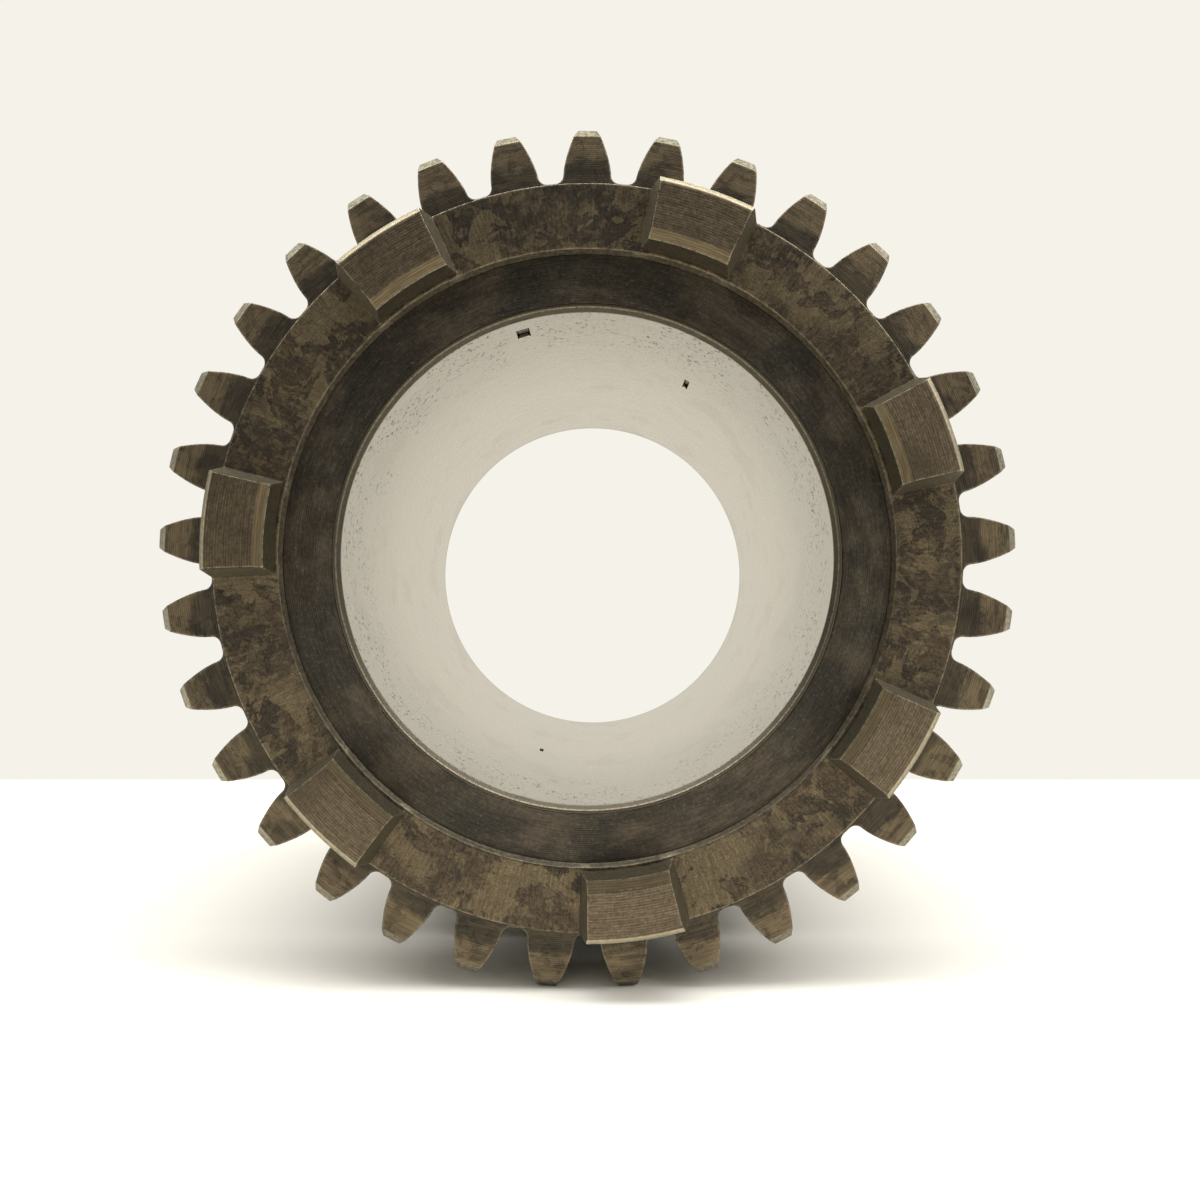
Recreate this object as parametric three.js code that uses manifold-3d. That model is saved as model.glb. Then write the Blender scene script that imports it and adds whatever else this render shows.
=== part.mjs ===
// A built-up transmission gear: a hub sleeve that carries a helical gear ring, a ring of
// straight teeth and a ring of clutch dogs, with a ground bush in its bore.
// Millimetres, +Z up. The gear stands on its teeth, its axis along Y, its dogs towards -Y.

import * as THREE from 'three';
import { mergeVertices } from 'three/addons/utils/BufferGeometryUtils.js';
import Module from 'manifold-3d';

const wasm = await Module();
wasm.setup();

// ---------------------------------------------------------------- driving dimensions

const MODULE = 3;                    // tooth size of both toothed rings
const PRESSURE_ANGLE = 20;           // degrees
const ADDENDUM = 1.0 * MODULE;
const DEDENDUM = 1.25 * MODULE;
const FILLET = 0.36 * MODULE;        // radius at the foot of a tooth
const FILLET_STEPS = 2;
const FLANK_STEPS = 3;
const JOINT_GAP = 0.3;               // clearance left between touching pieces

const STRAIGHT_TEETH = 33;
const STRAIGHT_WIDTH = 10;
const TIP_BEVEL = { radial: 1.15, axial: 1 };

const HELICAL_TEETH = 31;
const HELIX_ANGLE = 19;              // degrees
const HELICAL_WIDTH = 38;
const HELICAL_STEPS = 4;
const HELICAL_BEVEL = { radial: 2, axial: 1.5 };

const DOGS = 7;
const FIRST_DOG_ANGLE = 20.2;        // degrees, from +X towards +Z
const DOG_HEIGHT = 4.2;
const DOG_FOOT_ANGLE = 17.1;         // degrees that a dog's drafted foot spans
const DOG_TOP_ANGLE = 14.5;          // degrees that its top spans
const DOG_INNER_RADIUS = 37.5;
const DOG_INNER_BEVEL = { radial: 1.25, axial: 0.5 };
const DOG_OUTER_BEVEL = { radial: 0.65, axial: 0.45 };

const RING_OUTER_RADIUS = 45;        // dog ring, at the foot of the straight teeth
const RING_STEP = 1;                 // dog ring floor in front of the hub's end face
const RING_INNER_BEVEL = 0.55;
const SPIGOT_RADIUS = 42;            // dog ring, where it is let into the tooth ring
const SPIGOT_DEPTH = 4;
const TOOTH_FACE_SETBACK = 0.5;      // tooth ring face behind the hub's end face

const BORE_RADIUS = 30;
const BORE_LENGTH = 80;
const BORE_BEVEL = { radial: 0.6, axial: 0.8 };
const BUSH_WALL = 0.9;

const NOSE_RADIUS = 36.5;            // hub, inside the two front rings
const FLANGE_RADIUS = 42;            // hub, between the two sets of teeth
const FLANGE_WIDTH = 7;
const HUB_RADIUS = 38;               // hub, inside the helical ring and behind it
const HUB_BEVEL = 1.5;

const ROUND_SEGMENTS = 72;
const DOG_ARC_SEGMENTS = 6;

// ---------------------------------------------------------------- places along the axis
// Local z runs along the axis towards the dogs, and is 0 at mid-length.

const OVERALL_LENGTH = BORE_LENGTH + RING_STEP + DOG_HEIGHT;
const DOG_TOP_Z = OVERALL_LENGTH / 2;
const RING_FLOOR_Z = DOG_TOP_Z - DOG_HEIGHT;
const HUB_FACE_Z = RING_FLOOR_Z - RING_STEP;
const BACK_FACE_Z = HUB_FACE_Z - BORE_LENGTH;
const STRAIGHT_FRONT_Z = HUB_FACE_Z - TOOTH_FACE_SETBACK;
const STRAIGHT_BACK_Z = STRAIGHT_FRONT_Z - STRAIGHT_WIDTH;
const SPIGOT_FLOOR_Z = STRAIGHT_FRONT_Z - SPIGOT_DEPTH;
const FLANGE_FRONT_Z = STRAIGHT_BACK_Z - JOINT_GAP;
const FLANGE_BACK_Z = FLANGE_FRONT_Z - FLANGE_WIDTH;
const HELICAL_FRONT_Z = FLANGE_BACK_Z - JOINT_GAP;
const HELICAL_BACK_Z = HELICAL_FRONT_Z - HELICAL_WIDTH;

const RING_BORE_RADIUS = NOSE_RADIUS + JOINT_GAP;
const HELICAL_BORE_RADIUS = HUB_RADIUS + JOINT_GAP;
const BUSH_OUTER_RADIUS = BORE_RADIUS + BUSH_WALL;
const BUSH_SEAT_RADIUS = BUSH_OUTER_RADIUS + JOINT_GAP;

// ---------------------------------------------------------------- solids

const radians = THREE.MathUtils.degToRad;

function solid(geometry) {
  const bare = geometry.clone();
  bare.deleteAttribute('normal');
  bare.deleteAttribute('uv');
  const merged = mergeVertices(bare, 1e-4);
  return new wasm.Manifold(new wasm.Mesh({
    numProp: 3,
    vertProperties: new Float32Array(merged.attributes.position.array),
    triVerts: new Uint32Array(merged.index.array),
  }));
}

function geometryOf(manifold) {
  const mesh = manifold.getMesh();
  const geometry = new THREE.BufferGeometry();
  geometry.setAttribute('position', new THREE.BufferAttribute(mesh.vertProperties, 3));
  geometry.setIndex(new THREE.BufferAttribute(mesh.triVerts, 1));
  geometry.computeVertexNormals();
  return geometry;
}

// A closed outline of [radius, z] points, turned round the local z axis.
function turned(outline) {
  const points = [...outline, outline[0]].map(([radius, z]) => new THREE.Vector2(radius, z));
  return solid(new THREE.LatheGeometry(points, ROUND_SEGMENTS).rotateX(Math.PI / 2));
}

function polar(radius, angle) {
  return new THREE.Vector2(radius * Math.cos(angle), radius * Math.sin(angle));
}

// ---------------------------------------------------------------- teeth

function gearSizes(teeth, helixAngle = 0) {
  const transverseModule = MODULE / Math.cos(helixAngle);
  const pitchRadius = (teeth * transverseModule) / 2;
  const pressureAngle = Math.atan(Math.tan(radians(PRESSURE_ANGLE)) / Math.cos(helixAngle));
  return {
    teeth,
    pitchRadius,
    pressureAngle,
    baseRadius: pitchRadius * Math.cos(pressureAngle),
    tipRadius: pitchRadius + ADDENDUM,
    rootRadius: pitchRadius - DEDENDUM,
  };
}

function involute(angle) {
  return Math.tan(angle) - angle;
}

// Half the angle that a tooth spans at a radius. Below the base circle its flank is radial.
function toothHalfAngle(gear, radius) {
  const roll = Math.acos(Math.min(1, gear.baseRadius / radius));
  return Math.PI / (2 * gear.teeth) + involute(gear.pressureAngle) - involute(roll);
}

// [radius, half angle] points of one flank, from the root circle up to the tip.
function flank(gear) {
  const footRadius = gear.rootRadius + FILLET;
  const filletHalf = toothHalfAngle(gear, footRadius) + FILLET / footRadius;
  const points = [];
  for (let step = 0; step < FILLET_STEPS; step += 1) {
    const turn = (Math.PI / 2) * (step / FILLET_STEPS);
    const radius = footRadius - FILLET * Math.cos(turn);
    points.push([radius, filletHalf - (FILLET * Math.sin(turn)) / radius]);
  }
  for (let step = 0; step <= FLANK_STEPS; step += 1) {
    const radius = footRadius + (gear.tipRadius - footRadius) * (step / FLANK_STEPS);
    points.push([radius, toothHalfAngle(gear, radius)]);
  }
  return points;
}

// The outline of a whole gear, with one tooth straight up.
function gearShape(gear) {
  const side = flank(gear);
  const tooth = [
    ...side.map(([radius, half]) => [radius, -half]),
    ...side.map(([radius, half]) => [radius, half]).reverse(),
  ];
  const points = [];
  for (let index = 0; index < gear.teeth; index += 1) {
    const centre = Math.PI / 2 + (2 * Math.PI * index) / gear.teeth;
    points.push(...tooth.map(([radius, offset]) => polar(radius, centre + offset)));
  }
  return new THREE.Shape(points);
}

// A toothed blank between two heights. A helical one turns as it rises.
function toothedBlank(gear, zLow, zHigh, steps = 1, turnPerMm = 0) {
  const options = { depth: zHigh - zLow, steps, bevelEnabled: false };
  const geometry = new THREE.ExtrudeGeometry(gearShape(gear), options).translate(0, 0, zLow);
  const position = geometry.attributes.position;
  const point = new THREE.Vector3();
  const axis = new THREE.Vector3(0, 0, 1);
  for (let index = 0; index < position.count; index += 1) {
    point.fromBufferAttribute(position, index);
    point.applyAxisAngle(axis, (point.z - zHigh) * turnPerMm);
    position.setXYZ(index, point.x, point.y, point.z);
  }
  return solid(geometry);
}

// ---------------------------------------------------------------- pieces

function hubSleeve() {
  return turned([
    [BUSH_SEAT_RADIUS, BACK_FACE_Z],
    [HUB_RADIUS - HUB_BEVEL, BACK_FACE_Z],
    [HUB_RADIUS, BACK_FACE_Z + HUB_BEVEL],
    [HUB_RADIUS, FLANGE_BACK_Z],
    [FLANGE_RADIUS, FLANGE_BACK_Z],
    [FLANGE_RADIUS, FLANGE_FRONT_Z],
    [NOSE_RADIUS, FLANGE_FRONT_Z],
    [NOSE_RADIUS, HUB_FACE_Z],
    [BUSH_SEAT_RADIUS, HUB_FACE_Z],
  ]);
}

// A plain ring that trims a toothed blank to its bore, and bevels the tooth tips at both ends.
function ringBlank(boreRadius, tipRadius, bevel, zLow, zHigh) {
  const clear = 1;
  const run = (bevel.axial * (bevel.radial + clear)) / bevel.radial;
  return turned([
    [boreRadius, zLow],
    [tipRadius - bevel.radial, zLow],
    [tipRadius + clear, zLow + run],
    [tipRadius + clear, zHigh - run],
    [tipRadius - bevel.radial, zHigh],
    [boreRadius, zHigh],
  ]);
}

function helicalGearRing() {
  const helixAngle = radians(HELIX_ANGLE);
  const gear = gearSizes(HELICAL_TEETH, helixAngle);
  const turnPerMm = Math.tan(helixAngle) / gear.pitchRadius;
  const span = [HELICAL_BACK_Z, HELICAL_FRONT_Z];
  const teeth = toothedBlank(gear, ...span, HELICAL_STEPS, turnPerMm);
  return teeth.intersect(ringBlank(HELICAL_BORE_RADIUS, gear.tipRadius, HELICAL_BEVEL, ...span));
}

function straightToothRing() {
  const gear = gearSizes(STRAIGHT_TEETH);
  const span = [STRAIGHT_BACK_Z, STRAIGHT_FRONT_Z];
  const seatRadius = SPIGOT_RADIUS + JOINT_GAP;
  const seat = turned([
    [RING_BORE_RADIUS - 1, SPIGOT_FLOOR_Z],
    [seatRadius, SPIGOT_FLOOR_Z],
    [seatRadius, STRAIGHT_FRONT_Z + 1],
    [RING_BORE_RADIUS - 1, STRAIGHT_FRONT_Z + 1],
  ]);
  return toothedBlank(gear, ...span)
    .intersect(ringBlank(RING_BORE_RADIUS, gear.tipRadius, TIP_BEVEL, ...span))
    .subtract(seat);
}

// One dog: a sector of a ring whose sides lean in towards its top.
function dog(angle) {
  const sink = 0.5;
  const footHalf = radians(DOG_FOOT_ANGLE) / 2;
  const topHalf = radians(DOG_TOP_ANGLE) / 2;
  const points = [];
  for (let step = 0; step <= DOG_ARC_SEGMENTS; step += 1) {
    points.push(polar(RING_OUTER_RADIUS + 1, footHalf * ((2 * step) / DOG_ARC_SEGMENTS - 1)));
  }
  for (let step = DOG_ARC_SEGMENTS; step >= 0; step -= 1) {
    points.push(polar(DOG_INNER_RADIUS, footHalf * ((2 * step) / DOG_ARC_SEGMENTS - 1)));
  }
  const options = { depth: DOG_HEIGHT + sink, bevelEnabled: false };
  const geometry = new THREE.ExtrudeGeometry(new THREE.Shape(points), options);
  geometry.translate(0, 0, -sink);
  const position = geometry.attributes.position;
  for (let index = 0; index < position.count; index += 1) {
    const x = position.getX(index);
    const y = position.getY(index);
    const z = position.getZ(index);
    const rise = Math.max(0, z) / DOG_HEIGHT;
    const share = 1 - rise * (1 - topHalf / footHalf);
    const point = polar(Math.hypot(x, y), angle + Math.atan2(y, x) * share);
    position.setXYZ(index, point.x, point.y, z + RING_FLOOR_Z);
  }
  return solid(geometry);
}

function dogClutchRing() {
  const spigotBase = SPIGOT_FLOOR_Z + JOINT_GAP;
  const flangeBase = STRAIGHT_FRONT_Z + JOINT_GAP;
  const bevelledFloorRadius = RING_BORE_RADIUS + RING_INNER_BEVEL;
  let ring = turned([
    [RING_BORE_RADIUS, spigotBase],
    [SPIGOT_RADIUS, spigotBase],
    [SPIGOT_RADIUS, flangeBase],
    [RING_OUTER_RADIUS, flangeBase],
    [RING_OUTER_RADIUS, RING_FLOOR_Z],
    [bevelledFloorRadius, RING_FLOOR_Z],
    [RING_BORE_RADIUS, HUB_FACE_Z],
  ]);
  for (let index = 0; index < DOGS; index += 1) {
    ring = ring.add(dog(radians(FIRST_DOG_ANGLE) + (2 * Math.PI * index) / DOGS));
  }
  const envelope = turned([
    [RING_BORE_RADIUS - 1, spigotBase - 1],
    [RING_OUTER_RADIUS, spigotBase - 1],
    [RING_OUTER_RADIUS, DOG_TOP_Z - DOG_OUTER_BEVEL.axial],
    [RING_OUTER_RADIUS - DOG_OUTER_BEVEL.radial, DOG_TOP_Z],
    [DOG_INNER_RADIUS + DOG_INNER_BEVEL.radial, DOG_TOP_Z],
    [DOG_INNER_RADIUS, DOG_TOP_Z - DOG_INNER_BEVEL.axial],
    [RING_BORE_RADIUS - 1, DOG_TOP_Z - DOG_INNER_BEVEL.axial],
  ]);
  return ring.intersect(envelope);
}

function boreBush() {
  const mouthRadius = BORE_RADIUS + BORE_BEVEL.radial;
  return turned([
    [mouthRadius, BACK_FACE_Z],
    [BUSH_OUTER_RADIUS, BACK_FACE_Z],
    [BUSH_OUTER_RADIUS, HUB_FACE_Z],
    [mouthRadius, HUB_FACE_Z],
    [BORE_RADIUS, HUB_FACE_Z - BORE_BEVEL.axial],
    [BORE_RADIUS, BACK_FACE_Z + BORE_BEVEL.axial],
  ]);
}

// ---------------------------------------------------------------- scene graph

const model = new THREE.Group();
model.rotation.x = Math.PI / 2;

function place(name, manifold, material) {
  const mesh = new THREE.Mesh(geometryOf(manifold), new THREE.MeshStandardMaterial(material));
  mesh.name = name;
  model.add(mesh);
}

place('hub_sleeve', hubSleeve(), { color: 0x3d362e, roughness: 0.5, metalness: 0.85 });
place('helical_gear_ring', helicalGearRing(), { color: 0x4a4238, roughness: 0.45, metalness: 0.9 });
place('straight_tooth_ring', straightToothRing(), { color: 0x4f463a, roughness: 0.5, metalness: 0.85 });
place('dog_clutch_ring', dogClutchRing(), { color: 0x5c5244, roughness: 0.45, metalness: 0.9 });
place('bore_bush', boreBush(), { color: 0xb5aea2, roughness: 0.3, metalness: 1 });

export default model;
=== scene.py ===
"""Looks of the built-up transmission gear: fine meshes and worn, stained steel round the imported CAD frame.

Sizes below are in millimetres, in the CAD frame: the axis runs along Y, and the dogs face -Y.
"""

import math

import bpy
import numpy as np
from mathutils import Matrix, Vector


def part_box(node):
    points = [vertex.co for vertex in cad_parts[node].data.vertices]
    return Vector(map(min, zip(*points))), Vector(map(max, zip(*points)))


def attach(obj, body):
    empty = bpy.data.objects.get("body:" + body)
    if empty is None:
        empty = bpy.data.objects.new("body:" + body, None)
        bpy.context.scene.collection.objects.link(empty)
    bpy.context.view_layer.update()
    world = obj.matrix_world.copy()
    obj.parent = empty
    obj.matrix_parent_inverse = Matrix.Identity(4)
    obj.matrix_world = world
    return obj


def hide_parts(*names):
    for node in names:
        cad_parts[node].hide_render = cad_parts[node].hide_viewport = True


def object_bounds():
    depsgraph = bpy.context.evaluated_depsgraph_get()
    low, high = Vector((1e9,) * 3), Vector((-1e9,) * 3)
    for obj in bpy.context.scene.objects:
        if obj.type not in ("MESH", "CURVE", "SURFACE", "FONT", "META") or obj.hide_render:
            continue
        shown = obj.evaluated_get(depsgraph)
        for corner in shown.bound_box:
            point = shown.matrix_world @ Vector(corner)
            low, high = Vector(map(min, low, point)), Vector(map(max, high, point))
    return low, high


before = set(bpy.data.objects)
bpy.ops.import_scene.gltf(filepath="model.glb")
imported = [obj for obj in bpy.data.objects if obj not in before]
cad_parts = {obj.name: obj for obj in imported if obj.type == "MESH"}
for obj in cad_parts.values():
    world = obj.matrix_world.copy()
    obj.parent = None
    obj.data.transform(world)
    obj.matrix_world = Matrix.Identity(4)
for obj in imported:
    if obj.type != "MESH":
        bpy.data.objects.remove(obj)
cad_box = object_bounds()

# ------------------------------------------------------------------ sizes

MM = 0.001

MODULE = 3.0
PRESSURE_ANGLE = math.radians(20)
FILLET = 0.36 * MODULE
STRAIGHT_TEETH = 33
STRAIGHT_BEVEL = (1.15, 1.0)       # radial, axial
HELICAL_TEETH = 31
HELIX_ANGLE = math.radians(19)
HELICAL_BEVEL = (2.0, 1.5)

DOGS = 7
FIRST_DOG_ANGLE = math.radians(20.2)
DOG_FOOT_ANGLE = math.radians(17.1)
DOG_TOP_ANGLE = math.radians(14.5)
DOG_HEIGHT = 4.2
DOG_INNER_RADIUS = 37.5
DOG_INNER_BEVEL = (1.25, 0.5)
DOG_OUTER_BEVEL = (0.65, 0.45)

BORE_RADIUS = 30.0
BORE_BEVEL = (0.6, 0.8)
BUSH_OUTER_RADIUS = 30.9
BUSH_SETBACK = 0.1                 # bush's end faces behind the hub's
NOSE_RADIUS = 36.78
FLANGE_RADIUS = 42.0
HUB_RADIUS = 38.0
HUB_BEVEL = 1.5
RING_OUTER_RADIUS = 45.0
SPIGOT_RADIUS = 42.25
RING_FLOOR_EDGE = 37.13            # inner edge of the dog ring's floor, outside its bevel
SEAM = 0.03                        # gap left between the shown faces of two pressed-together pieces
EDGE = 0.14                        # rounding of a worn edge
TIGHT = 0.05                       # rounding of an edge that meets a neighbour

PIT_WALL = 0.15                    # run of a pit's sloping wall
PIT_DEPTH = 0.45

ROUND_SEGMENTS = 288
WALL_LEVELS = 10                   # loops along the bore's wall, besides those of the pits
ARC_MIDDLE = 0.29                  # how far in an arc's middle stands, as a share of its cut
LONGEST_CUT = 0.4                  # most of a side that a rounding takes, as a share of its length
SHARP = math.radians(50)           # angle between faces from which an edge is shaded as sharp


def along_axis(node):
    """Front and back of a CAD node along the axis, in millimetres."""
    low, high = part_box(node)
    return low[1] / MM, high[1] / MM


HUB_FRONT, HUB_BACK = along_axis("hub_sleeve")
HELICAL_FRONT, HELICAL_BACK = along_axis("helical_gear_ring")
STRAIGHT_FRONT, STRAIGHT_BACK = along_axis("straight_tooth_ring")
DOG_TOP, SPIGOT_BACK = along_axis("dog_clutch_ring")
RING_FLOOR = DOG_TOP + DOG_HEIGHT

# Angle, place along the axis, half width and half length of each pit in the bore's wall.
PITS = [
    (math.radians(105.8), HUB_FRONT + 6, 0.85, 1.9),
    (math.radians(62), HUB_FRONT + 24, 0.4, 2.4),
    (math.radians(255), HUB_FRONT + 37, 0.3, 1.2),
]


# ------------------------------------------------------------------ mesh making

def circle_loop(radius, y, angles):
    """A loop of points round the axis; radius and y are single values or one for each angle."""
    depth = np.broadcast_to(y, len(angles))
    return np.column_stack([radius * np.cos(angles), depth, radius * np.sin(angles)])


def between(start, end, count):
    """Evenly spaced values between two others, without them."""
    return np.linspace(start, end, count + 2)[1:-1]


def angles_of(loop):
    return np.arctan2(loop[:, 2], loop[:, 0])


def rounded(path):
    """A closed path of (radius, y) or (radius, y, rounding) corners, cut to small arcs."""
    points = np.array([corner[:2] for corner in path], float)
    sizes = [corner[2] if len(corner) > 2 else EDGE for corner in path]
    before = np.roll(points, 1, axis=0) - points
    after = np.roll(points, -1, axis=0) - points
    out = []
    for point, back, on, size in zip(points, before, after, sizes):
        back_length, on_length = np.hypot(*back), np.hypot(*on)
        cut = min(size, back_length * LONGEST_CUT, on_length * LONGEST_CUT)
        back, on = back / back_length, on / on_length
        out += [point + cut * back, point + ARC_MIDDLE * cut * (back + on), point + cut * on]
    return out


def closed_mesh(name, loops):
    """A closed ring-shaped mesh through equal loops, the last joined to the first."""
    count, size = len(loops), len(loops[0])
    index = np.arange(count * size).reshape(count, size)
    onward = np.roll(index, -1, axis=0)
    corners = [index, np.roll(index, -1, axis=1), np.roll(onward, -1, axis=1), onward]
    quads = np.stack(corners, axis=-1).reshape(-1, 4)
    points = np.concatenate(loops) * MM
    a, b, c, d = (points[quads[:, corner]] for corner in range(4))
    volume = (a * (np.cross(b, c) + np.cross(c, d))).sum()
    if volume < 0:
        quads = quads[:, ::-1]
    mesh = bpy.data.meshes.new(name)
    mesh.from_pydata(points.tolist(), [], quads.tolist())
    mesh.polygons.foreach_set("use_smooth", np.ones(len(quads), bool))
    mesh.set_sharp_from_angle(angle=SHARP)
    piece = bpy.data.objects.new(name, mesh)
    bpy.context.scene.collection.objects.link(piece)
    weighted = piece.modifiers.new("flat faces stay flat", "WEIGHTED_NORMAL")
    weighted.keep_sharp = True
    return piece


def turned_piece(name, path):
    """A piece turned on a lathe from a closed (radius, y) path."""
    angles = np.linspace(0, 2 * math.pi, ROUND_SEGMENTS, endpoint=False)
    return closed_mesh(name, [circle_loop(radius, y, angles) for radius, y in rounded(path)])


# ------------------------------------------------------------------ teeth

class Gear:
    """The size of an involute gear, and the outline of its teeth."""

    ROOT_STEPS, FILLET_STEPS, FLANK_STEPS, LAND_STEPS = 2, 5, 8, 3
    CORNER = 0.05                  # rounding at the corners of a tooth's tip

    def __init__(self, teeth, helix=0.0):
        self.teeth = teeth
        self.pitch = teeth * MODULE / math.cos(helix) / 2
        self.pressure = math.atan(math.tan(PRESSURE_ANGLE) / math.cos(helix))
        self.base = self.pitch * math.cos(self.pressure)
        self.tip = self.pitch + MODULE
        self.root = self.pitch - 1.25 * MODULE

    def half_angle(self, radius):
        """Half the angle that a tooth spans at a radius."""
        roll = math.acos(min(1.0, self.base / radius))
        at_pitch = math.pi / (2 * self.teeth) + math.tan(self.pressure) - self.pressure
        return at_pitch - math.tan(roll) + roll

    def half_tooth(self, tip, inset):
        """(radius, angle) points from a gap's middle to just before a tooth's, drawn in by inset."""
        root = self.root - inset
        foot = root + FILLET
        foot_half = self.half_angle(foot) - inset / self.base + FILLET / foot
        gap_half = math.pi / self.teeth
        points = []
        for step in range(self.ROOT_STEPS):
            points.append((root, -gap_half + (gap_half - foot_half) * step / self.ROOT_STEPS))
        for step in range(self.FILLET_STEPS):
            turn = math.pi / 2 * step / self.FILLET_STEPS
            radius = foot - FILLET * math.cos(turn)
            points.append((radius, FILLET * math.sin(turn) / radius - foot_half))
        for step in range(self.FLANK_STEPS + 1):
            radius = foot + (tip - inset - self.CORNER - foot) * step / self.FLANK_STEPS
            points.append((radius, inset / self.base - self.half_angle(radius)))
        land_half = self.half_angle(tip) - (inset + self.CORNER) / tip
        for step in range(self.LAND_STEPS):
            points.append((tip - inset, -land_half * (1 - step / self.LAND_STEPS)))
        return points

    def loop(self, y, tip, inset=0.0, turn=0.0):
        """The outline of the whole gear at y, its teeth cut down to a tip radius and drawn in by inset."""
        half = self.half_tooth(tip, inset)
        mirrored = [(radius, -angle) for radius, angle in reversed(half[1:])]
        radius, offset = np.array(half + [(tip - inset, 0.0)] + mirrored).T
        centres = math.pi / 2 + 2 * math.pi * np.arange(self.teeth) / self.teeth + turn
        angle = (centres[:, None] + offset[None, :]).ravel()
        radius = np.tile(radius, self.teeth)
        return circle_loop(radius, y, angle)


STRAIGHT_GEAR = Gear(STRAIGHT_TEETH)
HELICAL_GEAR = Gear(HELICAL_TEETH, HELIX_ANGLE)


def end_levels(bevel):
    """(depth, tip cut, inset) of the loops that round an end face's edge and bevel its tooth tips."""
    radial, axial = bevel
    slope = radial / axial
    rounding = [(0.0, EDGE), (0.3 * EDGE, 0.3 * EDGE), (EDGE, 0.0)]
    levels = [(depth, radial - depth * slope, inset) for depth, inset in rounding]
    half = EDGE / 2
    return levels + [(axial - half, half * slope, 0.0), (axial + half, 0.0, 0.0)]


def toothed_loops(gear, front, back, bevel, turn_per_mm=0.0, middle_steps=1):
    """The loops of a toothed rim, from its front face to its back face."""
    levels = end_levels(bevel)
    rows = [(front + depth, cut, inset) for depth, cut, inset in levels]
    first, last = front + levels[-1][0], back - levels[-1][0]
    rows += [(first + (last - first) * step / middle_steps, 0.0, 0.0) for step in range(1, middle_steps)]
    rows += [(back - depth, cut, inset) for depth, cut, inset in reversed(levels)]
    return [gear.loop(y, gear.tip - cut, inset, (front - y) * turn_per_mm) for y, cut, inset in rows]


def ring_with_teeth(name, gear, front, back, bevel, seat, **twist):
    """A toothed ring whose inside is the (radius, y) path seat, from its back face to its front."""
    rim = toothed_loops(gear, front, back, bevel, **twist)
    first, last = angles_of(rim[0]), angles_of(rim[-1])
    inside = rounded(seat)
    share = np.linspace(0, 1, len(inside))
    turn = np.angle(np.exp(1j * (first - last)))
    loops = [circle_loop(radius, y, last + part * turn) for part, (radius, y) in zip(share, inside)]
    return closed_mesh(name, rim + loops)


# ------------------------------------------------------------------ pieces

def hub_sleeve():
    seat = BUSH_OUTER_RADIUS + SEAM
    flange_front = STRAIGHT_BACK + SEAM
    flange_back = HELICAL_FRONT - SEAM
    return turned_piece("hub", [
        (seat, HUB_FRONT, TIGHT),
        (NOSE_RADIUS, HUB_FRONT, TIGHT),
        (NOSE_RADIUS, flange_front),
        (FLANGE_RADIUS, flange_front),
        (FLANGE_RADIUS, flange_back),
        (HUB_RADIUS, flange_back),
        (HUB_RADIUS, HUB_BACK - HUB_BEVEL),
        (HUB_RADIUS - HUB_BEVEL, HUB_BACK),
        (seat, HUB_BACK, TIGHT),
    ])


def pit_edges(middle, half):
    """Where a pit's wall starts and ends, to each side of its middle."""
    wall = min(PIT_WALL, half / 2)
    return [middle + side * (half - inwards) for side in (-1, 1) for inwards in (0.0, wall)]


def pitted(loop):
    """A loop of the bore's wall, sunk where it crosses a pit."""
    angle = angles_of(loop)
    sunk = np.zeros(len(loop))
    for pit_angle, pit_y, half_width, half_length in PITS:
        off = np.abs(np.angle(np.exp(1j * (angle - pit_angle)))) * BORE_RADIUS
        across = np.clip((half_width - off) / min(PIT_WALL, half_width / 2), 0, 1)
        along = np.clip((half_length - abs(loop[0, 1] - pit_y)) / PIT_WALL, 0, 1)
        sunk = np.maximum(sunk, PIT_DEPTH * across * along)
    out = 1 + (sunk / BORE_RADIUS)[:, None]
    return loop * np.hstack([out, np.ones_like(out), out])


def bore_bush():
    mouth = BORE_RADIUS + BORE_BEVEL[0]
    ends = (HUB_FRONT + BORE_BEVEL[1], HUB_BACK - BORE_BEVEL[1])
    faces = (HUB_FRONT + BUSH_SETBACK, HUB_BACK - BUSH_SETBACK)
    angles = list(np.linspace(0, 2 * math.pi, ROUND_SEGMENTS, endpoint=False))
    levels = list(between(*ends, WALL_LEVELS))
    for pit_angle, pit_y, half_width, half_length in PITS:
        angles += [edge / BORE_RADIUS for edge in pit_edges(pit_angle * BORE_RADIUS, half_width)]
        levels += pit_edges(pit_y, half_length)
    angles = np.array(sorted(angles))
    outside = rounded([
        (BORE_RADIUS, ends[1], TIGHT),
        (mouth, faces[1], TIGHT),
        (BUSH_OUTER_RADIUS, faces[1], TIGHT),
        (BUSH_OUTER_RADIUS, faces[0], TIGHT),
        (mouth, faces[0], TIGHT),
        (BORE_RADIUS, ends[0], TIGHT),
    ])
    wall = [pitted(circle_loop(BORE_RADIUS, y, angles)) for y in sorted(levels)]
    return closed_mesh("bush", wall + [circle_loop(radius, y, angles) for radius, y in outside])


def straight_tooth_ring():
    bore = NOSE_RADIUS + SEAM
    seat = [
        (bore, STRAIGHT_BACK),
        (bore, SPIGOT_BACK + SEAM),
        (SPIGOT_RADIUS + SEAM, SPIGOT_BACK + SEAM),
        (SPIGOT_RADIUS + SEAM, STRAIGHT_FRONT),
    ]
    return ring_with_teeth(
        "straight_teeth", STRAIGHT_GEAR, STRAIGHT_FRONT, STRAIGHT_BACK, STRAIGHT_BEVEL, seat,
        middle_steps=5,
    )


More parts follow.
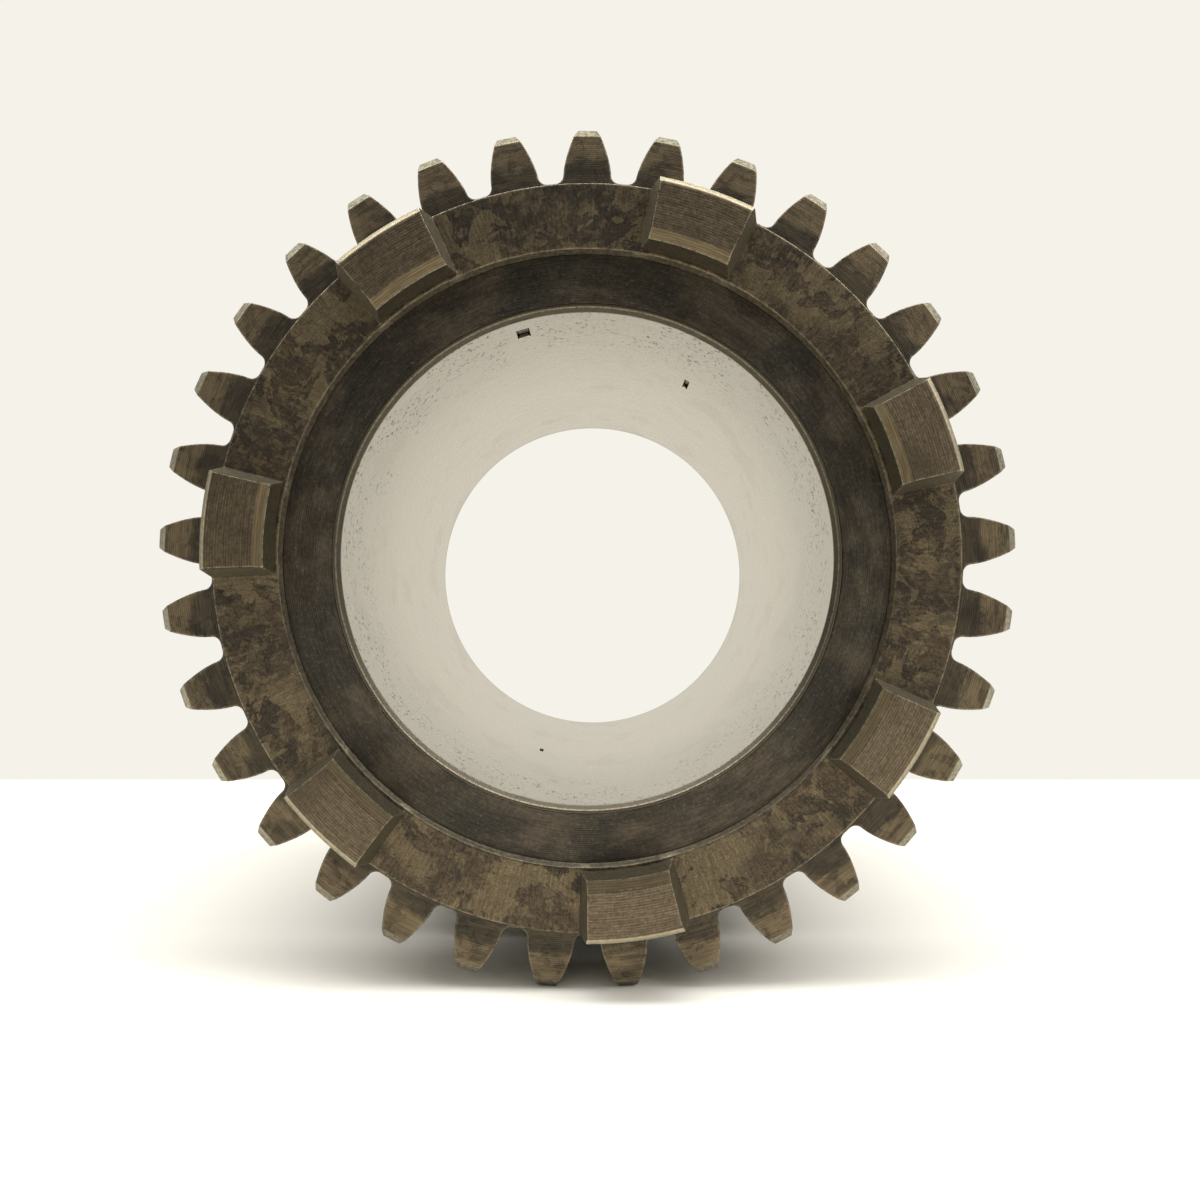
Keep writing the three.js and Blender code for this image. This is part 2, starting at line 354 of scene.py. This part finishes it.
def helical_gear_ring():
    bore = HUB_RADIUS + SEAM
    seat = [(bore, HELICAL_BACK), (bore, HELICAL_FRONT)]
    return ring_with_teeth(
        "helical_teeth", HELICAL_GEAR, HELICAL_FRONT, HELICAL_BACK, HELICAL_BEVEL, seat,
        turn_per_mm=math.tan(HELIX_ANGLE) / HELICAL_GEAR.pitch, middle_steps=20,
    )


INNER_LEAN = 0.13                  # how far a dog's inner side leans in below its bevel
OUTER_LEAN = 0.1
TOP_SHARES = (0.0, 0.03, 0.35, 0.65, 0.97, 1.0)                      # points across a dog's top
SIDE_SHARES = (-0.06, -0.02, 0.0, 0.03, 0.1, 0.4, 0.7, 0.9, 0.97, 1.0, 1.03, 1.07)  # up a dog's side
TOP_STATIONS = 12                  # round a dog's top
GAP_STATIONS = 18                  # round the floor between two dogs

# The worn bevel at the floor's inner edge, as (radius, height) from that edge.
FLOOR_BEVEL = [(-0.26, -0.84), (-0.21, -0.76), (-0.03, -0.06), (0.04, 0.0)]


def soft_step(share, softness=0.02):
    """0 below share 0, 1 above share 1, a straight rise between, with rounded corners."""
    return 0.5 * (1 + math.hypot(share, softness) - math.hypot(share - 1, softness))


def dog_path(rise):
    """(radius, height over the ring's floor) across the dog ring, where the dogs' sides reach rise."""
    limit = DOG_HEIGHT * rise
    foot = min(1.0, limit)
    inner_wall = DOG_HEIGHT - DOG_INNER_BEVEL[1]
    outer_wall = DOG_HEIGHT - DOG_OUTER_BEVEL[1]
    inner_share = min(1.0, max(0.0, (limit - inner_wall) / DOG_INNER_BEVEL[1]))
    outer_share = min(1.0, max(0.0, (limit - outer_wall) / DOG_OUTER_BEVEL[1]))
    inner_top = DOG_INNER_RADIUS + INNER_LEAN + DOG_INNER_BEVEL[0] * inner_share
    outer_top = RING_OUTER_RADIUS - OUTER_LEAN - DOG_OUTER_BEVEL[0] * outer_share
    inside = NOSE_RADIUS + SEAM
    spigot_end = RING_FLOOR - SPIGOT_BACK
    spigot_step = RING_FLOOR - STRAIGHT_FRONT + SEAM
    return [
        (SPIGOT_RADIUS, spigot_end),
        (inside, spigot_end),
        (inside, RING_FLOOR - HUB_FRONT),
        *[(RING_FLOOR_EDGE + out, height) for out, height in FLOOR_BEVEL],
        (DOG_INNER_RADIUS - 0.04, 0.0),
        (DOG_INNER_RADIUS, 0.08 * foot),
        (DOG_INNER_RADIUS + 0.05, 0.5 * min(limit, inner_wall) + 0.04 * foot),
        (DOG_INNER_RADIUS + 0.1, min(limit, inner_wall)),
        *[(inner_top + (outer_top - inner_top) * share, limit) for share in TOP_SHARES],
        (RING_OUTER_RADIUS - 0.05, min(limit, outer_wall) - 0.02),
        (RING_OUTER_RADIUS, 0.5 * min(limit, outer_wall) - 0.06),
        (RING_OUTER_RADIUS, -0.12),
        (RING_OUTER_RADIUS, spigot_step),
        (SPIGOT_RADIUS, spigot_step),
    ]


def dog_stations():
    """(angle, rise) pairs round the dog ring."""
    foot, top = DOG_FOOT_ANGLE / 2, DOG_TOP_ANGLE / 2
    up = [(-foot + (foot - top) * share, soft_step(share)) for share in SIDE_SHARES]
    flat = [(angle, 1.0) for angle in between(-top, top, TOP_STATIONS)]
    down = [(-angle, rise) for angle, rise in reversed(up)]
    next_dog = 2 * math.pi / DOGS + up[0][0]
    gap = [(angle, 0.0) for angle in between(down[-1][0], next_dog, GAP_STATIONS)]
    return [
        (FIRST_DOG_ANGLE + 2 * math.pi * index / DOGS + angle, rise)
        for index in range(DOGS)
        for angle, rise in up + flat + down + gap
    ]


def dog_clutch_ring():
    stations = dog_stations()
    angles = np.array([angle for angle, _ in stations])
    paths = np.array([dog_path(rise) for _, rise in stations])
    rounds = paths.transpose(1, 2, 0)
    loops = [circle_loop(radius, RING_FLOOR - height, angles) for radius, height in rounds]
    return closed_mesh("dog_ring", loops)


# ------------------------------------------------------------------ surfaces

NEARBY_RAYS = 6                    # rays that look for a corner or an edge close by


def rgb(red, green, blue):
    """A colour socket's value from 0-255 screen values."""
    screen = [value / 255 for value in (red, green, blue)]
    linear = [
        value / 12.92 if value <= 0.04045 else ((value + 0.055) / 1.055) ** 2.4 for value in screen
    ]
    return (*linear, 1.0)


class Surface:
    """A steel material, layered from patterns measured in millimetres round the gear's axis."""

    def __init__(self, name, metallic=1.0):
        self.material = bpy.data.materials.new(name)
        self.material.use_nodes = True
        self.tree = self.material.node_tree
        self.shader = self.tree.nodes["Principled BSDF"]
        self.shader.inputs["Metallic"].default_value = metallic
        place = self.node("ShaderNodeTexCoord").outputs["Object"]
        self.place = self.vector("SCALE", place, scale=1 / MM)
        self.depth = self.node("ShaderNodeSeparateXYZ", Vector=self.place).outputs["Y"]
        flat = self.vector("MULTIPLY", self.place, (1, 0, 1))
        self.radius = self.vector("LENGTH", flat)
        self.around = self.vector("NORMALIZE", flat)

    def plug(self, socket, value):
        if isinstance(value, bpy.types.NodeSocket):
            self.tree.links.new(value, socket)
        elif socket.type == "VECTOR":
            socket.default_value = value[:3]
        else:
            socket.default_value = value

    def node(self, kind, settings=None, **inputs):
        """A node with its settings and inputs; an input is a number, a tuple or another node's output."""
        node = self.tree.nodes.new(kind)
        for key, value in (settings or {}).items():
            setattr(node, key, value)
        for key, value in inputs.items():
            self.plug(node.inputs[key.replace("_", " ")], value)
        return node

    def vector(self, operation, *values, scale=None):
        node = self.node("ShaderNodeVectorMath", {"operation": operation})
        for socket, value in zip(node.inputs, values):
            self.plug(socket, value)
        if scale is not None:
            self.plug(node.inputs["Scale"], scale)
        return node.outputs["Value" if operation in ("LENGTH", "DOT_PRODUCT") else "Vector"]

    def math(self, operation, *values):
        node = self.node("ShaderNodeMath", {"operation": operation})
        for socket, value in zip(node.inputs, values):
            self.plug(socket, value)
        return node.outputs[0]

    def times(self, *values):
        """The product of masks and numbers."""
        product = values[0]
        for value in values[1:]:
            product = self.math("MULTIPLY", product, value)
        return product

    def without(self, mask):
        """1 where the mask is 0, and the other way round."""
        return self.math("SUBTRACT", 1.0, mask)

    def ring_place(self, around, radius=0.0, depth=0.0, seed=0.0):
        """Pattern coordinates: steps per radian round the axis, per mm of radius and per mm of depth."""
        turned = self.vector("SCALE", self.around, scale=around)
        lift = self.math("ADD", self.times(self.radius, radius), self.times(self.depth, depth))
        raised = self.node("ShaderNodeCombineXYZ", X=seed, Y=lift).outputs[0]
        return self.vector("ADD", turned, raised)

    def noise(self, place, scale=1.0, detail=4.0, roughness=0.5, distortion=0.0, seed=0.0):
        moved = self.vector("ADD", place, (seed, 1.7 * seed, -2.3 * seed)) if seed else place
        node = self.node(
            "ShaderNodeTexNoise",
            Vector=moved, Scale=scale, Detail=detail, Roughness=roughness, Distortion=distortion,
        )
        return node.outputs["Fac"]

    def rise(self, value, low, high):
        """0 up to low, 1 from high on; high may be the smaller of the two."""
        settings = {"interpolation_type": "SMOOTHSTEP"}
        ends = {"From_Min": min(low, high), "From_Max": max(low, high)}
        rising = self.node("ShaderNodeMapRange", settings, Value=value, **ends).outputs[0]
        return rising if low < high else self.without(rising)

    def band(self, value, low, high, soft):
        """1 between low and high, 0 beyond them."""
        above = self.rise(value, low - soft, low + soft)
        below = self.rise(value, high + soft, high - soft)
        return self.times(above, below)

    def mix(self, share, first, second):
        """The first colour, turning into the second as share goes to 1."""
        node = self.node("ShaderNodeMix", {"data_type": "RGBA"})
        for index, value in ((0, share), (6, first), (7, second)):
            self.plug(node.inputs[index], value)
        return node.outputs[2]

    def layers(self, colour, *layers):
        """A colour with (mask, colour) layers laid over it in turn."""
        for mask, over in layers:
            colour = self.mix(mask, colour, over)
        return colour

    def shaded(self, colour, amount, low, high):
        """A colour multiplied by low to high as amount goes from 0 to 1."""
        factor = self.node("ShaderNodeMapRange", Value=amount, To_Min=low, To_Max=high).outputs[0]
        return self.vector("SCALE", colour, scale=factor)

    def painted_corner_shade(self, reach):
        """1 deep in a corner or close to another object such as the table, 0 in the open: a mask for painted
        shade.
        """
        settings = {"samples": NEARBY_RAYS}
        node = self.node("ShaderNodeAmbientOcclusion", settings, Distance=reach * MM)
        return self.rise(node.outputs["AO"], 0.9, 0.35)

    def edge(self, reach):
        """1 along an outer edge, 0 on a face."""
        settings = {"samples": NEARBY_RAYS, "inside": True, "only_local": True}
        node = self.node("ShaderNodeAmbientOcclusion", settings, Distance=reach * MM)
        return self.rise(node.outputs["AO"], 0.92, 0.62)

    def bump(self, *layers):
        """Bumps from (pattern, height in mm) layers, one after another."""
        normal = None
        for pattern, height in layers:
            node = self.node("ShaderNodeBump", Height=pattern, Distance=height * MM)
            if normal is not None:
                self.plug(node.inputs["Normal"], normal)
            normal = node.outputs["Normal"]
        self.plug(self.shader.inputs["Normal"], normal)

    def finish(self, colour, roughness):
        """The finished material, with its colour and roughness plugged in."""
        self.plug(self.shader.inputs["Base Color"], colour)
        self.plug(self.shader.inputs["Roughness"], roughness)
        return self.material


PAINTED_LIGHT_SIDE = (0.5, 0, -0.87)     # way across the axis, down and towards the table, in which the dogs' tops are painted lighter: painted light from the table

NEAR_BLACK = rgb(50, 49, 46)
DARK_BROWN = rgb(70, 62, 52)
BROWN = rgb(94, 83, 68)
TAN = rgb(122, 109, 85)
OLIVE = rgb(108, 102, 86)
GOLD_GREY = rgb(128, 113, 87)
BARE = rgb(190, 181, 156)
GROUND = rgb(191, 184, 167)


def turning_lines(steel, pitch, regular=0.08):
    """Fine concentric tool marks, from 0 to 1; regular is the share that repeats evenly."""
    drift = steel.noise(steel.ring_place(4, radius=0.4, depth=0.5), detail=2)
    phase = steel.math("ADD", steel.times(steel.radius, 2 * math.pi / pitch), steel.times(drift, 3.0))
    wave = steel.math("SINE", phase)
    scratches = steel.ring_place(14, radius=1.6 / pitch, depth=1.6 / pitch)
    fine = steel.noise(scratches, detail=4, roughness=0.65)
    return steel.math("ADD", steel.times(wave, regular), fine)


def dried_oil(steel, seed, size, cover):
    """(patch, rim) masks of a stain with a crisp, uneven edge."""
    field = steel.noise(steel.place, 1 / size, detail=7, roughness=0.62, distortion=0.5, seed=seed)
    level = 0.62 - 0.24 * cover
    patch = steel.rise(field, level, level + 0.025)
    rim = steel.band(field, level - 0.02, level + 0.004, 0.008)
    return patch, rim


def dog_steel():
    """Brown, oil-stained floor and flanks, with the dogs' tops turned and worn paler; painted shade darkens
    the corners, and painted light makes the tops lighter on the side towards the table.
    """
    steel = Surface("stained_dog_steel")
    inner_edge = DOG_INNER_RADIUS + DOG_INNER_BEVEL[0]
    outer_edge = RING_OUTER_RADIUS - DOG_OUTER_BEVEL[0]
    floor = steel.rise(steel.depth, RING_FLOOR - 0.35, RING_FLOOR - 0.1)
    top = steel.rise(steel.depth, DOG_TOP + 0.75, DOG_TOP + 0.05)
    side = steel.times(steel.without(floor), steel.without(top))
    inner_bevel = steel.times(top, steel.rise(steel.radius, inner_edge + 0.02, inner_edge - 0.08))
    outer_bevel = steel.times(top, steel.rise(steel.radius, outer_edge - 0.05, outer_edge + 0.07))
    ring_bevel = steel.rise(steel.radius, RING_FLOOR_EDGE + 0.05, RING_FLOOR_EDGE - 0.03)
    ring_bevel = steel.times(ring_bevel, floor)
    lines = turning_lines(steel, 0.31, 0.1)
    grain = steel.noise(steel.place, 2.2, detail=7, roughness=0.7)
    speckle = steel.noise(steel.place, 4.5, detail=4, roughness=0.75, seed=30)
    streaks = steel.noise(steel.ring_place(150, radius=0.35, depth=0.3), detail=4, roughness=0.6)
    cloud = steel.noise(steel.place, 0.11, detail=3, roughness=0.5, seed=4)
    patch, rim = dried_oil(steel, 2, 4.5, 0.55)
    black, _ = dried_oil(steel, 9, 5.5, 0.45)
    crumbs, crumb_rim = dried_oil(steel, 14, 1.3, 0.35)
    rims = steel.math("MAXIMUM", rim, crumb_rim)
    where = steel.rise(cloud, 0.42, 0.56)
    ground = steel.mix(steel.rise(grain, 0.3, 0.7), DARK_BROWN, BROWN)
    stained = steel.layers(
        ground,
        (steel.times(black, 0.5), NEAR_BLACK),
        (steel.times(patch, where, 0.56), TAN),
        (steel.times(crumbs, 0.32), TAN),
        (steel.times(rims, 0.4), NEAR_BLACK),
    )
    stained = steel.shaded(stained, steel.rise(streaks, 0.3, 0.7), 0.8, 1.18)
    stained = steel.shaded(stained, steel.rise(speckle, 0.3, 0.7), 0.74, 1.28)
    worn = steel.mix(steel.rise(grain, 0.35, 0.65), rgb(92, 82, 67), rgb(112, 100, 82))
    worn = steel.shaded(worn, steel.rise(lines, 0.3, 0.72), 0.72, 1.24)
    worn = steel.mix(steel.times(steel.rise(cloud, 0.55, 0.4), 0.5), worn, DARK_BROWN)
    worn = steel.shaded(worn, steel.rise(speckle, 0.3, 0.62), 0.76, 1.08)
    # painted light: the dogs' tops are painted darker on the upper side and lighter on the lower side,
    # towards the table
    painted_table_light = steel.rise(steel.vector("DOT_PRODUCT", steel.place, PAINTED_LIGHT_SIDE), -40, 40)
    worn = steel.shaded(worn, painted_table_light, 0.84, 1.12)
    inner_line = steel.band(steel.radius, DOG_INNER_RADIUS + 0.3, DOG_INNER_RADIUS + 0.45, 0.06)
    bevel = steel.shaded(rgb(112, 100, 77), steel.rise(lines, 0.3, 0.7), 0.75, 1.2)
    bevel = steel.mix(steel.times(inner_line, 0.6), bevel, GOLD_GREY)
    flank = steel.mix(steel.rise(grain, 0.3, 0.65), rgb(98, 91, 75), rgb(126, 119, 100))
    flank = steel.shaded(flank, steel.rise(speckle, 0.35, 0.65), 0.72, 1.14)
    bright_bevel = steel.shaded(rgb(168, 159, 134), steel.rise(grain, 0.3, 0.7), 0.7, 1.1)
    grey_bevel = steel.shaded(rgb(118, 110, 93), steel.rise(grain, 0.35, 0.65), 0.62, 1.25)
    bare_edge = steel.times(steel.edge(0.25), steel.rise(grain, 0.38, 0.58), 0.7)
    colour = steel.layers(
        stained,
        (side, flank),
        (top, worn),
        (inner_bevel, bevel),
        (outer_bevel, bright_bevel),
        # painted shade: near-black laid into the corners and close to the table
        (steel.times(steel.painted_corner_shade(0.9), 0.3), NEAR_BLACK),
        (bare_edge, BARE),
        (ring_bevel, grey_bevel),
    )
    roughness = steel.math("ADD", 0.42, steel.times(grain, 0.18))
    steel.bump((streaks, 0.012), (steel.times(top, lines), 0.035), (grain, 0.012))
    return steel.finish(colour, roughness)


def hub_steel():
    """Dark turned steel, clouded blue-black, bare along its edges behind the dogs."""
    steel = Surface("dark_turned_steel")
    lines = turning_lines(steel, 0.26)
    grain = steel.noise(steel.place, 2.6, detail=6, roughness=0.7)
    cloud = steel.noise(steel.ring_place(5, radius=0.35, depth=0.12), detail=5, roughness=0.55)
    blue = steel.noise(steel.place, 0.13, detail=4, roughness=0.55, seed=7)
    colour = steel.mix(steel.rise(cloud, 0.36, 0.66), rgb(70, 64, 56), rgb(91, 83, 72))
    colour = steel.layers(
        colour,
        (steel.times(steel.rise(blue, 0.44, 0.6), 0.7), rgb(60, 59, 54)),
        (steel.times(steel.rise(grain, 0.58, 0.7), 0.5), rgb(110, 100, 85)),
    )
    colour = steel.shaded(colour, steel.rise(lines, 0.25, 0.75), 0.68, 1.22)
    colour = steel.shaded(colour, steel.rise(grain, 0.3, 0.7), 0.78, 1.2)
    behind_nose = steel.rise(steel.depth, HUB_FRONT + 1, HUB_FRONT + 2)
    worn = steel.times(steel.edge(0.3), steel.rise(grain, 0.35, 0.55), behind_nose)
    colour = steel.mix(steel.times(worn, 0.8), colour, BARE)
    steel.bump((lines, 0.02), (grain, 0.008))
    return steel.finish(colour, steel.math("ADD", 0.36, steel.times(grain, 0.22)))


def tooth_steel(name, gear, front, back, bevel):
    """Oil-darkened tooth faces and roots, with painted shade deep in the corners and near the table, and
    paler flanks and bevels where the teeth mesh and rub.
    """
    steel = Surface(name)
    bevel_cut, bevel_depth = bevel
    bevel_edge = gear.tip - bevel_cut
    lines = turning_lines(steel, 0.24)
    grain = steel.noise(steel.place, 2.0, detail=7, roughness=0.7)
    cloud = steel.noise(steel.ring_place(9, radius=0.3, depth=0.05), detail=4, roughness=0.6)
    arcs = steel.noise(steel.ring_place(7, radius=1.1), detail=3, roughness=0.6, seed=3)
    patch, rim = dried_oil(steel, 21, 2.6, 0.5)
    face_front = steel.rise(steel.depth, front + 0.2, front + 0.08)
    face_back = steel.rise(steel.depth, back - 0.2, back - 0.08)
    face = steel.math("MAXIMUM", face_front, face_back)
    near_front = steel.rise(steel.depth, front + bevel_depth + 0.1, front + bevel_depth - 0.05)
    near_back = steel.rise(steel.depth, back - bevel_depth - 0.1, back - bevel_depth + 0.05)
    near_end = steel.math("MAXIMUM", near_front, near_back)
    near_tip = steel.rise(steel.radius, bevel_edge - 0.04, bevel_edge + 0.06)
    tip_bevel = steel.times(near_end, near_tip)
    uneven_radius = steel.math("ADD", steel.radius, steel.times(cloud, 5.0))
    root = steel.rise(uneven_radius, gear.root + 5.4, gear.root + 4.2)
    side = steel.without(face)
    contact = steel.times(side, steel.band(steel.radius, gear.root + 2.0, gear.tip - 0.7, 0.5))
    scuff = steel.noise(steel.ring_place(60, radius=2.4, depth=0.12), detail=4, roughness=0.6)
    colour = steel.mix(steel.rise(cloud, 0.3, 0.65), rgb(84, 75, 62), rgb(116, 103, 82))
    colour = steel.layers(
        colour,
        (steel.times(steel.rise(arcs, 0.52, 0.6), 0.42), NEAR_BLACK),
        (steel.times(patch, 0.35), TAN),
        (steel.times(rim, 0.4), NEAR_BLACK),
        (steel.times(root, 0.62), NEAR_BLACK),
    )
    colour = steel.shaded(colour, steel.rise(lines, 0.28, 0.72), 0.72, 1.25)
    rubbed = steel.shaded(rgb(146, 139, 122), steel.rise(scuff, 0.3, 0.7), 0.8, 1.15)
    mottled = steel.mix(steel.rise(grain, 0.35, 0.65), OLIVE, rgb(150, 144, 123))
    bare_edge = steel.times(steel.edge(0.28), steel.rise(grain, 0.4, 0.58), 0.75)
    colour = steel.layers(
        colour,
        (steel.times(contact, 0.8), rubbed),
        (tip_bevel, mottled),
        # painted shade: near-black laid into the corners and where the teeth stand close to the table
        (steel.times(steel.painted_corner_shade(1.0), 0.45), NEAR_BLACK),
        (bare_edge, BARE),
    )
    roughness = steel.math("ADD", 0.4, steel.times(grain, 0.2))
    roughness = steel.math("SUBTRACT", roughness, steel.times(contact, 0.18))
    steel.bump((steel.times(face, lines), 0.03), (steel.times(side, scuff), 0.015), (grain, 0.012))
    return steel.finish(colour, roughness)


def bore_steel():
    """Smooth ground steel with faint hoops, a painted reflection that lightens it deeper in, a dark bevel at
    the mouth, and rust in the pits.
    """
    steel = Surface("ground_bore_steel")
    inside = steel.math("SUBTRACT", steel.depth, HUB_FRONT)
    hoops = steel.noise(steel.ring_place(2.5, depth=0.9), detail=5, roughness=0.6)
    fine = steel.noise(steel.ring_place(10, depth=9), detail=3, roughness=0.6)
    cloud = steel.noise(steel.ring_place(4, depth=0.09, seed=11), detail=3)
    grain = steel.noise(steel.place, 3.2, detail=5, roughness=0.65)
    clusters = steel.noise(steel.place, 0.16, detail=3, roughness=0.6, seed=5)
    specks = steel.noise(steel.ring_place(60, depth=1.1), detail=4, roughness=0.7)
    mouth = steel.rise(inside, BORE_BEVEL[1] + 0.05, BORE_BEVEL[1] - 0.1)
    near_mouth = steel.math("ADD", 0.06, steel.times(steel.rise(inside, 26, 4), 0.9))
    near_mouth = steel.times(steel.without(mouth), near_mouth)
    specks = steel.times(steel.rise(specks, 0.58, 0.64), steel.rise(clusters, 0.4, 0.55), near_mouth)
    dust = steel.noise(steel.place, 3.5, detail=3, seed=40)
    dust = steel.times(steel.rise(dust, 0.5, 0.66), near_mouth)
    below_wall = steel.rise(steel.radius, BORE_RADIUS + 0.06, BORE_RADIUS + 0.25)
    pits = steel.math("MAXIMUM", specks, steel.times(below_wall, steel.rise(inside, 2, 2.5)))
    far_rim = steel.rise(steel.depth, HUB_BACK - 3, HUB_BACK - 0.5)
    outer = steel.rise(steel.radius, BORE_RADIUS + 0.45, BORE_RADIUS + 0.7)
    worn_line = steel.times(mouth, steel.band(steel.radius, BORE_RADIUS + 0.44, BORE_RADIUS + 0.54, 0.04))
    # painted reflection: the ground steel is painted darker at the mouth and lighter deeper in the bore
    colour = steel.shaded(GROUND, steel.rise(inside, 0, 45), 0.88, 1.1)
    colour = steel.shaded(colour, steel.rise(hoops, 0.3, 0.7), 0.93, 1.05)
    colour = steel.shaded(colour, steel.rise(fine, 0.3, 0.7), 0.96, 1.03)
    shadowed = steel.mix(steel.rise(grain, 0.4, 0.6), rgb(50, 46, 39), rgb(66, 60, 50))
    colour = steel.layers(
        colour,
        (steel.times(steel.rise(cloud, 0.52, 0.66), 0.18), rgb(150, 138, 112)),
        (steel.times(far_rim, 0.4), rgb(158, 145, 118)),
        (steel.times(dust, 0.22), rgb(120, 114, 98)),
        (steel.times(mouth, 0.9), shadowed),
        (outer, rgb(74, 68, 57)),
        (steel.times(worn_line, steel.rise(grain, 0.3, 0.6)), rgb(136, 127, 106)),
        (pits, rgb(46, 41, 33)),
        (steel.times(steel.edge(0.2), 0.35), BARE),
    )
    steel.bump((steel.times(pits, -1.0), 0.03), (fine, 0.004), (grain, 0.003))
    roughness = steel.math("ADD", 0.2, steel.times(hoops, 0.14))
    roughness = steel.math("ADD", roughness, steel.times(mouth, 0.22))
    return steel.finish(colour, roughness)


# ------------------------------------------------------------------ assembly

def fit(piece, node, material):
    """Puts a finish on a piece and lets it stand for its CAD node."""
    piece.data.materials.append(material)
    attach(piece, "root")
    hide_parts(node)


straight_finish = tooth_steel(
    "straight_tooth_steel", STRAIGHT_GEAR, STRAIGHT_FRONT, STRAIGHT_BACK, STRAIGHT_BEVEL
)
helical_finish = tooth_steel(
    "helical_tooth_steel", HELICAL_GEAR, HELICAL_FRONT, HELICAL_BACK, HELICAL_BEVEL
)
fit(hub_sleeve(), "hub_sleeve", hub_steel())
fit(bore_bush(), "bore_bush", bore_steel())
fit(straight_tooth_ring(), "straight_tooth_ring", straight_finish)
fit(helical_gear_ring(), "helical_gear_ring", helical_finish)
fit(dog_clutch_ring(), "dog_clutch_ring", dog_steel())


# ------------------------------------------------------------------ floor, light and camera

TABLE_REACH = 3.0                  # metres, to the front and to each side
TABLE_BACK = 98 * MM
PAPER = rgb(245, 242, 234)

GLOSS_DIMMING = 0.77               # dimming of the backdrop's shine on the side of the dogs
GLOSS_DARK_FROM = 0.5              # the shine's direction along the axis, where the dimming starts
GLOSS_DARK_TO = -0.8               # and where it is full
SHADE_DIMMING = 0.35               # dimming of the backdrop's soft light, in every direction

FOCAL_LENGTH = 28.57
SENSOR_WIDTH = 36
NEAREST_SEEN = 5 * MM
CAMERA_PLACE = (1.55 * MM, -152.6 * MM, -5.02 * MM)
FACING_BACK = (math.pi / 2, 0, 0)


def table():
    """A white board that the gear stands on, with its back edge in view."""
    z = cad_box[0][2]
    corners = [
        (-TABLE_REACH, -TABLE_REACH, z),
        (TABLE_REACH, -TABLE_REACH, z),
        (TABLE_REACH, TABLE_BACK, z),
        (-TABLE_REACH, TABLE_BACK, z),
    ]
    mesh = bpy.data.meshes.new("table")
    mesh.from_pydata(corners, [], [(0, 1, 2, 3)])
    top = bpy.data.objects.new("table", mesh)
    bpy.context.scene.collection.objects.link(top)
    board = Surface("white_table", metallic=0.0)
    fibres = board.noise(board.place, 0.8, detail=6)
    board.bump((fibres, 0.01))
    roughness = board.math("ADD", 0.3, board.times(fibres, 0.2))
    mesh.materials.append(board.finish(rgb(250, 247, 238), roughness))


def area_light(name, place, size, power):
    """A rectangular lamp aimed at the middle of the gear."""
    data = bpy.data.lights.new(name, "AREA")
    data.shape = "RECTANGLE"
    data.size, data.size_y = size
    data.energy = power
    lamp = bpy.data.objects.new(name, data)
    lamp.location = place
    lamp.rotation_euler = (-Vector(place)).to_track_quat("-Z", "Y").to_euler()
    bpy.context.scene.collection.objects.link(lamp)


def world_math(tree, operation, *values):
    """A sum on the world's nodes; each value is a float or another node's output."""
    node = tree.nodes.new("ShaderNodeMath")
    node.operation = operation
    for socket, value in zip(node.inputs, values):
        if isinstance(value, float):
            socket.default_value = value
        else:
            tree.links.new(value, socket)
    return node.outputs[0]


def studio():
    """Even light over a plain backdrop; what shines back from the camera's side is darker."""
    world = bpy.data.worlds.new("studio")
    world.use_nodes = True
    tree = world.node_tree
    direction = tree.nodes.new("ShaderNodeTexCoord").outputs["Generated"]
    parts = tree.nodes.new("ShaderNodeSeparateXYZ")
    tree.links.new(direction, parts.inputs[0])
    dark = tree.nodes.new("ShaderNodeMapRange")
    dark.interpolation_type = "SMOOTHSTEP"
    dark.inputs["From Min"].default_value = GLOSS_DARK_TO
    dark.inputs["From Max"].default_value = GLOSS_DARK_FROM
    dark.inputs["To Min"].default_value = GLOSS_DIMMING
    dark.inputs["To Max"].default_value = 0.0
    tree.links.new(parts.outputs["Y"], dark.inputs["Value"])
    ray = tree.nodes.new("ShaderNodeLightPath")
    in_gloss = world_math(tree, "MULTIPLY", dark.outputs[0], ray.outputs["Is Glossy Ray"])
    in_shade = world_math(tree, "MULTIPLY", SHADE_DIMMING, ray.outputs["Is Diffuse Ray"])
    dimming = world_math(tree, "ADD", in_gloss, in_shade)
    strength = world_math(tree, "SUBTRACT", 1.0, dimming)
    background = tree.nodes["Background"]
    background.inputs["Color"].default_value = PAPER
    tree.links.new(strength, background.inputs["Strength"])
    bpy.context.scene.world = world


def camera():
    """A close camera level with the gear, facing the dogs."""
    data = bpy.data.cameras.new("camera")
    data.sensor_width = SENSOR_WIDTH
    data.lens = FOCAL_LENGTH
    data.clip_start = NEAREST_SEEN
    made = bpy.data.objects.new("camera", data)
    made.location = CAMERA_PLACE
    made.rotation_euler = FACING_BACK
    bpy.context.scene.collection.objects.link(made)
    bpy.context.scene.camera = made


table()
area_light("overhead", place=(0, -0.17, 0.8), size=(2.0, 0.25), power=14.5)
area_light("key", place=(0.8, -0.4, 0.6), size=(0.6, 0.6), power=3)
studio()
camera()
bpy.context.scene.view_settings.view_transform = "Standard"
